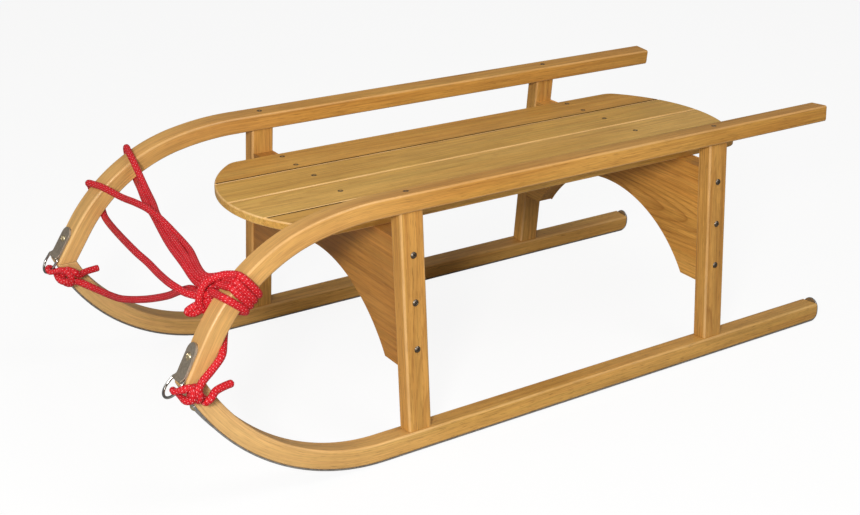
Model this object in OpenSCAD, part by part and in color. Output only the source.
// A wooden sledge with bent side frames, steel shoes, nose rings and a red tow rope.
// It stands on z = 0 with its nose towards -y, its left side towards +x and its centreline at x = 0.
// The origin is on the ground under the middle of the sledge's length.

/* [Side frames] */
// Distance from the centreline to the outer face of a runner, at the ground
half_width = 213; // [190:1:230]
// How far each side frame leans inwards at the top, in degrees
lean = 5; // [3:0.5:7]
// Width of the bent wooden stock, across the sledge
stock_w = 27; // [25:0.5:30]
// Rounding along the edges of the bent stock
stock_r = 2.5; // [1.5:0.1:3.5]
// Height of the top of the rail, measured up the side frame
rail_top = 302; // [292:1:312]
// Thickness of the rail
rail_t = 21; // [18:0.5:23]
// Thickness of the wooden runner
runner_t = 22; // [20:0.5:24]
// Rear end of the rail
rail_rear = 417.5; // [400:0.5:440]
// Rear end of the wooden runner
runner_rear = 422.5; // [405:0.5:445]

/* [Nose] */
// Lengthwise place of the inner corner of the nose mitre
nose_y = -478.5; // [-490:0.5:-470]
// Height of the nose mitre
nose_h = 151; // [145:1:156]
// Slope of the rail where it meets the mitre, in degrees
rail_slope = 60; // [58:0.5:62]
// Inner radius of the first, gentle bend of the rail
bend_1 = 330; // [300:1:350]
// Angle turned by the gentle bend, in degrees
bend_1_angle = 13; // [11:0.5:15]
// Inner radius of the main bend of the rail
bend_2 = 187; // [178:1:195]
// Inner radius of the bend of the runner
runner_bend = 226; // [215:1:235]
// Diameter of the hidden dowel across the mitre
dowel_d = 8; // [6:0.5:9]
// Length of the hidden dowel
dowel_l = 20; // [16:1:22]

/* [Posts and arches] */
// Distance between the middle of the front posts and of the rear posts
post_pitch = 453; // [430:1:470]
// Size of a post along the sledge
post_depth = 30; // [28:0.5:33]
// Size of a post across the sledge
post_w = 21; // [19:0.5:23]
// Depth of the tenon that sits in the runner
tenon_l = 12; // [8:1:14]
// Thickness of an arched cross board
arch_t = 26; // [22:0.5:28]
// Radius of the arch cut into a cross board
arch_r = 183; // [175:1:188]
// Height of the top of the arch cut
arch_crown = 182; // [176:1:188]
// Height of the foot of a cross board
arch_foot = 100; // [96:1:110]

/* [Seat] */
// Height of the top of the seat
seat_top = 258; // [254:0.5:262]
// Thickness of a seat slat
slat_t = 10; // [9:0.5:12]
// Width of a seat slat
slat_w = 63; // [60:0.5:64]
// Gap between two seat slats
slat_gap = 0.8; // [0.6:0.1:2]
// Front tip of the seat
seat_front = -355.5; // [-362:0.5:-340]
// Rear tip of the seat
seat_rear = 367.5; // [355:0.5:375]
// Radius of the rounded front of the seat
seat_front_r = 158; // [150:1:175]
// Radius of the rounded rear of the seat
seat_rear_r = 176; // [165:1:185]
// Radius at the corners of the seat
seat_corner_r = 25; // [18:1:30]

/* [Steel] */
// Thickness of the steel runner shoe
shoe_t = 2; // [1.5:0.1:2.5]
// Width of the steel runner shoe
shoe_w = 24; // [22:0.5:25]
// How far the rear tab of the shoe stands above the runner
shoe_tab = 4.5; // [3:0.5:6]
// Radius of the turned-up rear corner of the shoe
shoe_turn = 12; // [10:0.5:14]
// Width of the folded strap that holds a ring
strap_w = 20; // [18:0.5:20.5]
// Length of the strap above the ring
strap_l = 40; // [36:1:44]
// Thickness of one layer of the strap
strap_t = 1.4; // [1.2:0.1:1.5]
// Diameter of the wire of a ring
wire_d = 3; // [2.8:0.1:3.2]
// Width of a ring between the middles of its two legs
ring_w = 25; // [24.5:0.5:27]
// Length of the straight legs of a ring
ring_leg = 8; // [6:0.5:10]
// How far the left ring hangs below the horizontal, in degrees
ring_hang_left = 42; // [38:1:50]
// How far the right ring hangs below the horizontal, in degrees
ring_hang_right = 56; // [50:1:60]

/* [Fasteners] */
// Diameter of a countersunk screw head
csk_d = 7; // [6:0.5:8]
// Diameter of a domed screw head
dome_d = 7.2; // [6.5:0.1:8]
// Diameter of a screw shank
shank_d = 3.6; // [3:0.1:4.2]

/* [Tow rope] */
// Diameter of the braided rope
rope_d = 8.4; // [7:0.1:8.6]

/* [Hidden] */
$fn = 48;

wood = [0.80, 0.58, 0.30];
steel = [0.55, 0.53, 0.50];
dark = [0.23, 0.18, 0.14];
red = [0.80, 0.08, 0.12];

over = 1; // how far a cutter reaches past the part it cuts
skin = 0.01; // hairline gap between touching parts

// how far the point midway between the posts lies behind the origin
origin_y = 48;
front_y = -post_pitch / 2;
rear_y = post_pitch / 2;
post_y = [front_y, rear_y];
post_inset = (stock_w - post_w) / 2;
mid_x = -stock_w / 2; // middle of the stock, in a side frame
runner_top = shoe_t + runner_t;
// raises a side frame until its shoe's inner edge touches the ground
lift = (stock_w + shoe_w) / 2 * sin(lean);

// direction out from a bend's centre, as [y, height]; 0 is straight up, positive turns forwards
function radial(angle) = [-sin(angle), cos(angle)];

// bends of the rail, as [y, height] points in the side frame
rail_under = rail_top - rail_t;
drop = bend_1 * (1 - cos(bend_1_angle)) + bend_2 * (cos(bend_1_angle) - cos(rail_slope));
reach = bend_1 * sin(bend_1_angle) + bend_2 * (sin(rail_slope) - sin(bend_1_angle));
rail_end_l = (rail_under - drop - nose_h) / sin(rail_slope);
bend_y = nose_y + rail_end_l * cos(rail_slope) + reach;
bend_1_centre = [bend_y, rail_under - bend_1];
bend_2_centre = bend_1_centre + (bend_1 - bend_2) * radial(bend_1_angle);
bend_2_end = bend_2_centre + bend_2 * radial(rail_slope);

// bend of the runner
runner_angle = acos(1 - (nose_h - runner_top) / runner_bend);
runner_y = round(10 * (nose_y + runner_bend * sin(runner_angle))) / 10;
runner_centre = [runner_y, runner_top + runner_bend];
runner_out_r = runner_bend + runner_t;
runner_cut_angle = acos((runner_centre[1] - nose_h) / runner_out_r);

// outer corner of the mitre, foot of the strap and the ring's hinge line
mitre_out = [nose_y - rail_t / sin(rail_slope), nose_h];
hinge_up = 6;
hole_r = wire_d / 2 + 0.06; // bore of the knuckle
knuckle_r = hole_r + strap_t;
strap_foot = mitre_out + hinge_up * [cos(rail_slope), sin(rail_slope)];
hinge = strap_foot + knuckle_r * radial(rail_slope);

// screw places
nose_screw_angle = 59.4; // round the runner's bend
shoe_end_angle = nose_screw_angle + 2.1;
strap_screw_up = 25;
shoe_screw_y = [-180, 50, 340];
post_screw_h = [122, 177, 232];
slat_screw_x = 18; // from the middle of an outer slat

// ---------- placing ----------
module placed() { translate([0, origin_y, 0]) children(); }
// side frame: x runs outwards from the outer face, z up the frame
module left() { translate([half_width, 0, lift]) rotate([0, -lean, 0]) children(); }
module right() { mirror([1, 0, 0]) left() children(); }
module both() {
    left() children();
    right() children();
}
// a part on the rail's nose face: z up the rail, -y away from the wood
module nose_frame() {
    translate([mid_x, strap_foot[0], strap_foot[1]]) rotate([rail_slope - 90, 0, 0]) children();
}
// revolves a [radius, x] profile about a [y, height] centre, from start degrees (0 is rearwards)
module sweep_arc(centre, start, angle) {
    translate([0, centre[0], centre[1]]) rotate([90, 0, 90]) rotate([0, 0, start])
        rotate_extrude(angle = angle, $fn = 192) children();
}
module rounded(width, height, r) {
    translate([r, 0]) square([width - 2 * r, height]);
    translate([0, r]) square([width, height - 2 * r]);
    for (x = [r, width - r], y = [r, height - r]) translate([x, y]) circle(r = r);
}

// ---------- rails and runners ----------
// a bend laps a few tenths of a degree into its neighbour and is very slightly thinner,
// so the two join cleanly
lap = 0.3;
fine = 0.05;
rail_spare = 20; // extra length below the mitre, cut away
runner_spare = 3; // extra degrees past the mitre, cut away
mitre_cut = 60;

// section of a bent bar at its inner radius, drawn in on every side
module section(r, t, less) {
    translate([r + less, -stock_w + less])
        rounded(t - 2 * less, stock_w - 2 * less, stock_r - less);
}
// straight bar of stock running forwards from its rear end
module straight_bar(rear, bottom, length, t) {
    translate([-stock_w, rear, bottom]) rotate([90, 0, 0])
        linear_extrude(length) rounded(stock_w, t, stock_r);
}
module mitre_cutter(bottom) {
    translate([-stock_w - over, nose_y - mitre_cut, bottom])
        cube([stock_w + 2 * over, 2 * mitre_cut, mitre_cut]);
}
module rail_bar() {
    straight_bar(rail_rear, rail_under, rail_rear - bend_y, rail_t);
    sweep_arc(bend_1_centre, 90 - lap, bend_1_angle + lap) section(bend_1, rail_t, fine);
    sweep_arc(bend_2_centre, 90 + bend_1_angle - lap, rail_slope - bend_1_angle + 2 * lap)
        section(bend_2, rail_t, 2 * fine);
    translate([-stock_w, bend_2_end[0], bend_2_end[1]]) rotate([90 + rail_slope, 0, 0])
        linear_extrude(rail_end_l + rail_spare) rounded(stock_w, rail_t, stock_r);
}
module rail() {
    color(wood) difference() {
        rail_bar();
        mitre_cutter(nose_h - mitre_cut);
        dowel();
        for (y = post_y) rail_screw(y);
        strap_screw();
    }
}
module runner_bar() {
    straight_bar(runner_rear, shoe_t, runner_rear - runner_y, runner_t);
    sweep_arc(runner_centre, 270, -runner_cut_angle - runner_spare)
        section(runner_bend, runner_t, 0);
}
module runner() {
    color(wood) difference() {
        runner_bar();
        mitre_cutter(nose_h);
        // rounds the lower rear corner to fit the shoe
        translate([-stock_w - over, shoe_turn_y, shoe_turn]) rotate([90, 0, 90])
            linear_extrude(stock_w + 2 * over) difference() {
                translate([0, -shoe_turn - over]) square([shoe_turn + over, shoe_turn + over]);
                circle(r = shoe_turn - shoe_t);
            }
        dowel();
        for (y = post_y) tenon(y);
        shoe_fixings();
    }
}
module dowel() {
    translate([mid_x, (nose_y + mitre_out[0]) / 2, nose_h - dowel_l / 2])
        cylinder(d = dowel_d, h = dowel_l);
}
module mitre_dowels() { color(wood) both() dowel(); }

// ---------- posts and arches ----------
tenon_w = 12;
tenon_depth = 22; // along the sledge
post_edge_r = 3;
seat_under = seat_top - slat_t;

module tenon(y) {
    translate([mid_x - tenon_w / 2, y - tenon_depth / 2, runner_top - tenon_l])
        cube([tenon_w, tenon_depth, tenon_l]);
}
module post(y) {
    color(wood) difference() {
        union() {
            translate([-post_inset - post_w, y - post_depth / 2, runner_top])
                linear_extrude(rail_under - runner_top) rounded(post_w, post_depth, post_edge_r);
            tenon(y);
        }
        for (h = post_screw_h) post_screw(y, h);
        rail_screw(y);
    }
}
// distance from the centreline to the inner face of the posts, at a height above the ground
function post_face(z) =
    half_width - (post_inset + post_w + (z - lift) * sin(lean)) / cos(lean);
module arch(y) {
    foot_x = post_face(arch_foot) - skin;
    top_x = post_face(seat_under) - skin;
    color(wood) difference() {
        translate([0, y + arch_t / 2, 0]) rotate([90, 0, 0]) linear_extrude(arch_t) difference() {
            polygon([[-foot_x, arch_foot], [foot_x, arch_foot],
                     [top_x, seat_under], [-top_x, seat_under]]);
            translate([0, arch_crown - arch_r]) circle(r = arch_r, $fn = 160);
        }
        both() for (h = post_screw_h) post_screw(y, h);
        slat_screws(y);
    }
}

// ---------- seat ----------
slat_x = [for (i = [0 : 3]) (i - 1.5) * (slat_w + slat_gap)];
seat_half_w = 2 * slat_w + 1.5 * slat_gap;
// straight middle of the outline, which overlaps both ends
seat_mid_y = -220;
seat_mid_l = 420;
slat_clip = 500; // half length of the strip that cuts one slat out

// bowed end of the outline with its tip towards +y
module bowed_end(tip, r) {
    corner_x = seat_half_w - seat_corner_r;
    corner_y = sqrt(pow(r - seat_corner_r, 2) - corner_x * corner_x);
    bow = atan2(corner_x, corner_y); // half angle of the bow
    translate([0, tip - r]) {
        intersection() {
            circle(r = r, $fn = 200);
            polygon([[0, 0], 2 * r * [-sin(bow), cos(bow)], 2 * r * [sin(bow), cos(bow)]]);
        }
        for (s = [-1, 1]) translate([s * corner_x, corner_y]) circle(r = seat_corner_r, $fn = 96);
        translate([-seat_half_w, corner_y - r]) square([2 * seat_half_w, r]);
    }
}
module seat_outline() {
    bowed_end(seat_rear, seat_rear_r);
    mirror([0, 1]) bowed_end(-seat_front, seat_front_r);
    translate([-seat_half_w, seat_mid_y]) square([2 * seat_half_w, seat_mid_l]);
}
// slats are numbered from right to left
module slat(i) {
    color(wood) difference() {
        translate([0, 0, seat_under]) linear_extrude(slat_t) intersection() {
            seat_outline();
            translate([slat_x[i] - slat_w / 2, -slat_clip]) square([slat_w, 2 * slat_clip]);
        }
        for (y = post_y) slat_screws(y);
    }
}

// ---------- steel ----------
shoe_x = mid_x - shoe_w / 2;
shoe_turn_y = runner_rear + shoe_t - shoe_turn; // centre of the turned-up corner
tab_centre = runner_top + shoe_tab - shoe_w / 2; // height of the centre of the tab's round top
ring_corner = 1.6; // bend radius between a ring's hinge bar and its legs

module shoe() {
    color(steel) difference() {
        union() {
            translate([shoe_x, runner_y, 0]) cube([shoe_w, shoe_turn_y - runner_y, shoe_t]);
            sweep_arc(runner_centre, 270, -shoe_end_angle)
                translate([runner_out_r, shoe_x]) square([shoe_t, shoe_w]);
            sweep_arc([shoe_turn_y, shoe_turn], 270, 90)
                translate([shoe_turn - shoe_t, shoe_x]) square([shoe_t, shoe_w]);
            // upright tab with a round top
            translate([mid_x, runner_rear, tab_centre]) rotate([-90, 0, 0])
                intersection() {
                    cylinder(d = shoe_w, h = shoe_t);
                    translate([-shoe_w, -shoe_w, 0]) cube([2 * shoe_w, shoe_w, shoe_t]);
                }
            translate([shoe_x, runner_rear, shoe_turn])
                cube([shoe_w, shoe_t, tab_centre - shoe_turn]);
        }
        shoe_fixings();
    }
}
// folded strap: a knuckle for the ring, and two layers lying flat on the rail
module ring_strap() {
    flat_l = strap_l - strap_w / 2;
    flat_t = 2 * strap_t - skin;
    color(steel) nose_frame() difference() {
        union() {
            translate([-strap_w / 2, -knuckle_r, 0]) rotate([0, 90, 0])
                cylinder(r = knuckle_r, h = strap_w);
            translate([-strap_w / 2, -2 * strap_t, 0]) cube([strap_w, flat_t, flat_l]);
            translate([0, -skin, flat_l]) rotate([90, 0, 0]) cylinder(d = strap_w, h = flat_t);
        }
        translate([-strap_w / 2 - over, -knuckle_r, 0]) rotate([0, 90, 0])
            cylinder(r = hole_r, h = strap_w + 2 * over);
        strap_hole();
    }
}
// frame on a ring's hinge line: -y runs along the legs, away from the hinge
module ring_frame(hang) {
    translate([mid_x, hinge[0], hinge[1]]) rotate([hang, 0, 0]) children();
}
module flip_x(s) {
    if (s < 0) mirror([1, 0, 0]) children();
    else children();
}
module ring(hang) {
    wire_r = wire_d / 2;
    half_w = ring_w / 2;
    color(steel) ring_frame(hang) {
        rotate([0, 90, 0]) cylinder(r = wire_r, h = ring_w - 2 * ring_corner, center = true);
        for (s = [-1, 1]) flip_x(s) {
            translate([half_w - ring_corner, -ring_corner, 0])
                rotate_extrude(angle = 90) translate([ring_corner, 0]) circle(r = wire_r);
            translate([half_w, -ring_corner, 0]) rotate([90, 0, 0])
                cylinder(r = wire_r, h = ring_leg);
        }
        translate([0, -ring_corner - ring_leg, 0]) rotate([0, 0, 180])
            rotate_extrude(angle = 180, $fn = 96) translate([half_w, 0]) circle(r = wire_r);
    }
}

// ---------- screws ----------
thin_d = 3.2; // shank of the smaller screws
csk_h = 2;
// a domed head is the cap of a sphere sunk below the surface
dome_r = 5;
dome_sink = 3;
rail_screw_l = 48;
post_screw_l = 46;
strap_screw_l = 17.5;
shoe_screw_l = 16;
slat_screw_l = 34;

// both kinds point down, with the seat of the head at z = 0
module csk(l, d) {
    translate([0, 0, -l]) cylinder(d = d, h = l);
    translate([0, 0, -csk_h]) cylinder(d1 = d, d2 = csk_d, h = csk_h);
}
module domed(l, d) {
    translate([0, 0, -l]) cylinder(d = d, h = l);
    intersection() {
        translate([0, 0, -dome_sink]) sphere(r = dome_r);
        cylinder(d = dome_d, h = 3);
    }
}
module rail_screw(y) { translate([mid_x, y, rail_top]) csk(rail_screw_l, shank_d); }
module post_screw(y, h) {
    translate([-post_inset, y, h]) rotate([0, 90, 0]) domed(post_screw_l, shank_d);
}
module strap_hole() {
    translate([0, -2 * strap_t, strap_screw_up]) rotate([90, 0, 0]) domed(strap_screw_l, thin_d);
}
module strap_screw() { nose_frame() strap_hole(); }
// the domed screw at the nose and the countersunk ones under the runner
module shoe_fixings() {
    translate([mid_x, runner_centre[0], runner_centre[1]]) rotate([180 - nose_screw_angle, 0, 0])
        translate([0, 0, runner_out_r + shoe_t]) domed(shoe_screw_l, thin_d);
    for (y = shoe_screw_y)
        translate([mid_x, y, 0]) rotate([180, 0, 0]) csk(shoe_screw_l, thin_d);
}
// two screws in each outer slat, one in each inner slat
module slat_screws(y) {
    for (x = [slat_x[0] - slat_screw_x, slat_x[0] + slat_screw_x, slat_x[1],
              slat_x[2], slat_x[3] - slat_screw_x, slat_x[3] + slat_screw_x])
        translate([x, y, seat_top]) csk(slat_screw_l, thin_d);
}
module seat_screws() { color(dark) for (y = post_y) slat_screws(y); }
module rail_screws() { color(dark) both() for (y = post_y) rail_screw(y); }
module post_screws() { color(dark) both() for (y = post_y, h = post_screw_h) post_screw(y, h); }
module strap_screws() { color(steel) both() strap_screw(); }
module shoe_screws() { color(steel) both() shoe_fixings(); }

// ---------- rope ----------
// side is 1 for left and -1 for right; out is the distance outwards from the outer face
// a [y, height] point of a side frame, in sledge axes
function at_side(side, out, point) =
    [side * (half_width + out * cos(lean) - point[1] * sin(lean)),
     point[0],
     lift + out * sin(lean) + point[1] * cos(lean)];
// a point beside the main bend of a rail
function on_bend(side, out, angle, radius) =
    at_side(side, out, bend_2_centre + radius * radial(angle));

rope_gap = rope_d / 2 + 0.5; // from the wood to the middle of the rope
rope_above = bend_2 + rail_t + rope_gap;
rope_below = bend_2 - rope_gap;
rope_inside = -stock_w - rope_gap;
// stations round the rail's section: out, share of the step along the bend, radius
wrap_outer = [
    [-stock_w - 1, 0, rope_above],
    [1, 0.25, rope_above],
    [rope_gap, 0.3, bend_2 + rail_t - 1],
    [rope_gap, 0.5, bend_2 + 1],
    [1, 0.55, rope_below],
    [-stock_w - 1, 0.8, rope_below]];
wrap_inner = [
    [rope_inside, 0.85, bend_2 + 1],
    [rope_inside, 0.95, bend_2 + rail_t - 1]];
function wrap(stations, side, angle, step) =
    [for (s = stations) on_bend(side, s[0], angle + s[1] * step, s[2])];

hitch_angle = 38.5;
hitch_step = 2.9;
hitch_turns = 3;
// strands round the right rail: angle and height over the inner radius where one leaves the
// left rail, angle on the right rail, then angle and height where it returns
cross_loops = [
    [41, rail_t - 2, 31, 42.5, 11],
    [43.5, rail_t - 8, 44.5, 45.5, 2]];
// slack strand: x, distance behind the nose, z
slack = [[-148, 10.5, 126], [-50, 10, 146], [40, 11, 180], [120, 11, 222], [158, 11, 242]];
// strand under the left bend: out, angle
under_bend = [[-18, 47], [-16, 50.5], [-10, 54], [-1, 57]];

module chain(points) {
    for (i = [0 : len(points) - 2]) hull() {
        translate(points[i]) sphere(d = rope_d, $fn = 8);
        translate(points[i + 1]) sphere(d = rope_d, $fn = 8);
    }
}
module tow_rope() {
    color(red) {
        // hitch on the left rail
        chain(concat(
            [for (k = [0 : hitch_turns - 1])
                each wrap(concat(wrap_outer, wrap_inner), 1,
                          hitch_angle + k * hitch_step, hitch_step)],
            [on_bend(1, -stock_w - 1, hitch_angle + hitch_turns * hitch_step, rope_above)]));
        // two loops round the right rail, both returning to the hitch
        for (c = cross_loops)
            chain(concat([on_bend(1, rope_inside - 3, c[0], bend_2 + c[1])],
                         wrap(wrap_outer, -1, c[2], 0),
                         [on_bend(1, rope_inside - 3, c[3], bend_2 + c[4])]));
        // slack strand from near the right ring to the hitch
        chain(concat([for (p = slack) [p[0], nose_y + p[1], p[2]]],
                     [on_bend(1, rope_inside, 44.5, bend_2 + rail_t - 3)]));
        // strand down the underside of the left bend
        chain(concat([for (p = under_bend) on_bend(1, p[0], p[1], rope_below)],
                     [at_side(1, 4.6, [nose_y + 22, 183]),
                      at_side(1, 5.5, [nose_y + 16, 176])]));
    }
}

grip_d = 6; // rope squeezed into the loop round a ring
neck_d = 5;
knot_r = 10.5;
grip_r = wire_d / 2 + 0.15 + grip_d / 2; // radius of the loop's middle line

function about_z(a, v) = [v[0] * cos(a) - v[1] * sin(a), v[0] * sin(a) + v[1] * cos(a), v[2]];
function about_x(a, v) = [v[0], v[1] * cos(a) - v[2] * sin(a), v[1] * sin(a) + v[2] * cos(a)];
// the end knot of the rope: a loop round the ring's wire, a neck, the knot and its tail
// turned = how far round the bow the loop sits; knot and tail = [out, y, height] in the side frame
module rope_knot(hang, turned, knot, tail) {
    bow = [0, -ring_corner - ring_leg, 0];
    on_bow = [ring_w / 2, 0, 0];
    loop = [mid_x, hinge[0], hinge[1]] + about_x(hang, bow + about_z(-turned, on_bow));
    wire = about_x(hang, about_z(-turned, [0, 1, 0])); // direction of the wire in the loop
    across = knot - loop - ((knot - loop) * wire) * wire;
    color(red) {
        ring_frame(hang) translate(bow) rotate([0, 0, -turned]) translate(on_bow)
            rotate([90, 0, 0]) rotate_extrude() translate([grip_r, 0]) circle(d = grip_d);
        rod(loop + (grip_r + 0.3) * across / norm(across), knot, neck_d);
        translate(knot) sphere(r = knot_r);
        rod(knot, tail, rope_d);
    }
}
// a round bar with a rounded far end
module rod(from, to, d) {
    v = to - from;
    l = norm(v);
    translate(from) rotate([0, acos(v[2] / l), atan2(v[1], v[0])]) rotate_extrude() {
        square([d / 2, l - d / 2]);
        translate([0, l - d / 2]) intersection() {
            circle(d = d);
            square(d);
        }
    }
}

// the left runner is mirrored about its own middle plane, which leaves its shape unchanged
placed() left() translate([-stock_w, 0, 0]) mirror([1, 0, 0]) runner();  // runner_left
placed() right() runner();  // runner_right
placed() left() rail();  // rail_left
placed() right() rail();  // rail_right
placed() mitre_dowels();
placed() left() post(front_y);  // post_front_left
placed() right() post(front_y);  // post_front_right
placed() left() post(rear_y);  // post_rear_left
placed() right() post(rear_y);  // post_rear_right
placed() arch(front_y);  // arch_front
placed() arch(rear_y);  // arch_rear
placed() slat(3);  // seat_slat_outer_left
placed() slat(2);  // seat_slat_inner_left
placed() slat(1);  // seat_slat_inner_right
placed() slat(0);  // seat_slat_outer_right
placed() left() shoe();  // shoe_left
placed() right() shoe();  // shoe_right
placed() left() ring_strap();  // ring_strap_left
placed() right() ring_strap();  // ring_strap_right
placed() left() ring(ring_hang_left);  // ring_left
placed() right() ring(ring_hang_right);  // ring_right
placed() seat_screws();
placed() rail_screws();
placed() post_screws();
placed() strap_screws();
placed() shoe_screws();
placed() tow_rope();
placed() left() rope_knot(ring_hang_left, 25,  // rope_knot_left
    [11, nose_y - 14.5, 149], [9, nose_y + 26, 148]);
placed() right() rope_knot(ring_hang_right, 155,  // rope_knot_right
    [-stock_w - 11, nose_y - 20, 138.5], [-stock_w - 9, nose_y + 22, 141.5]);
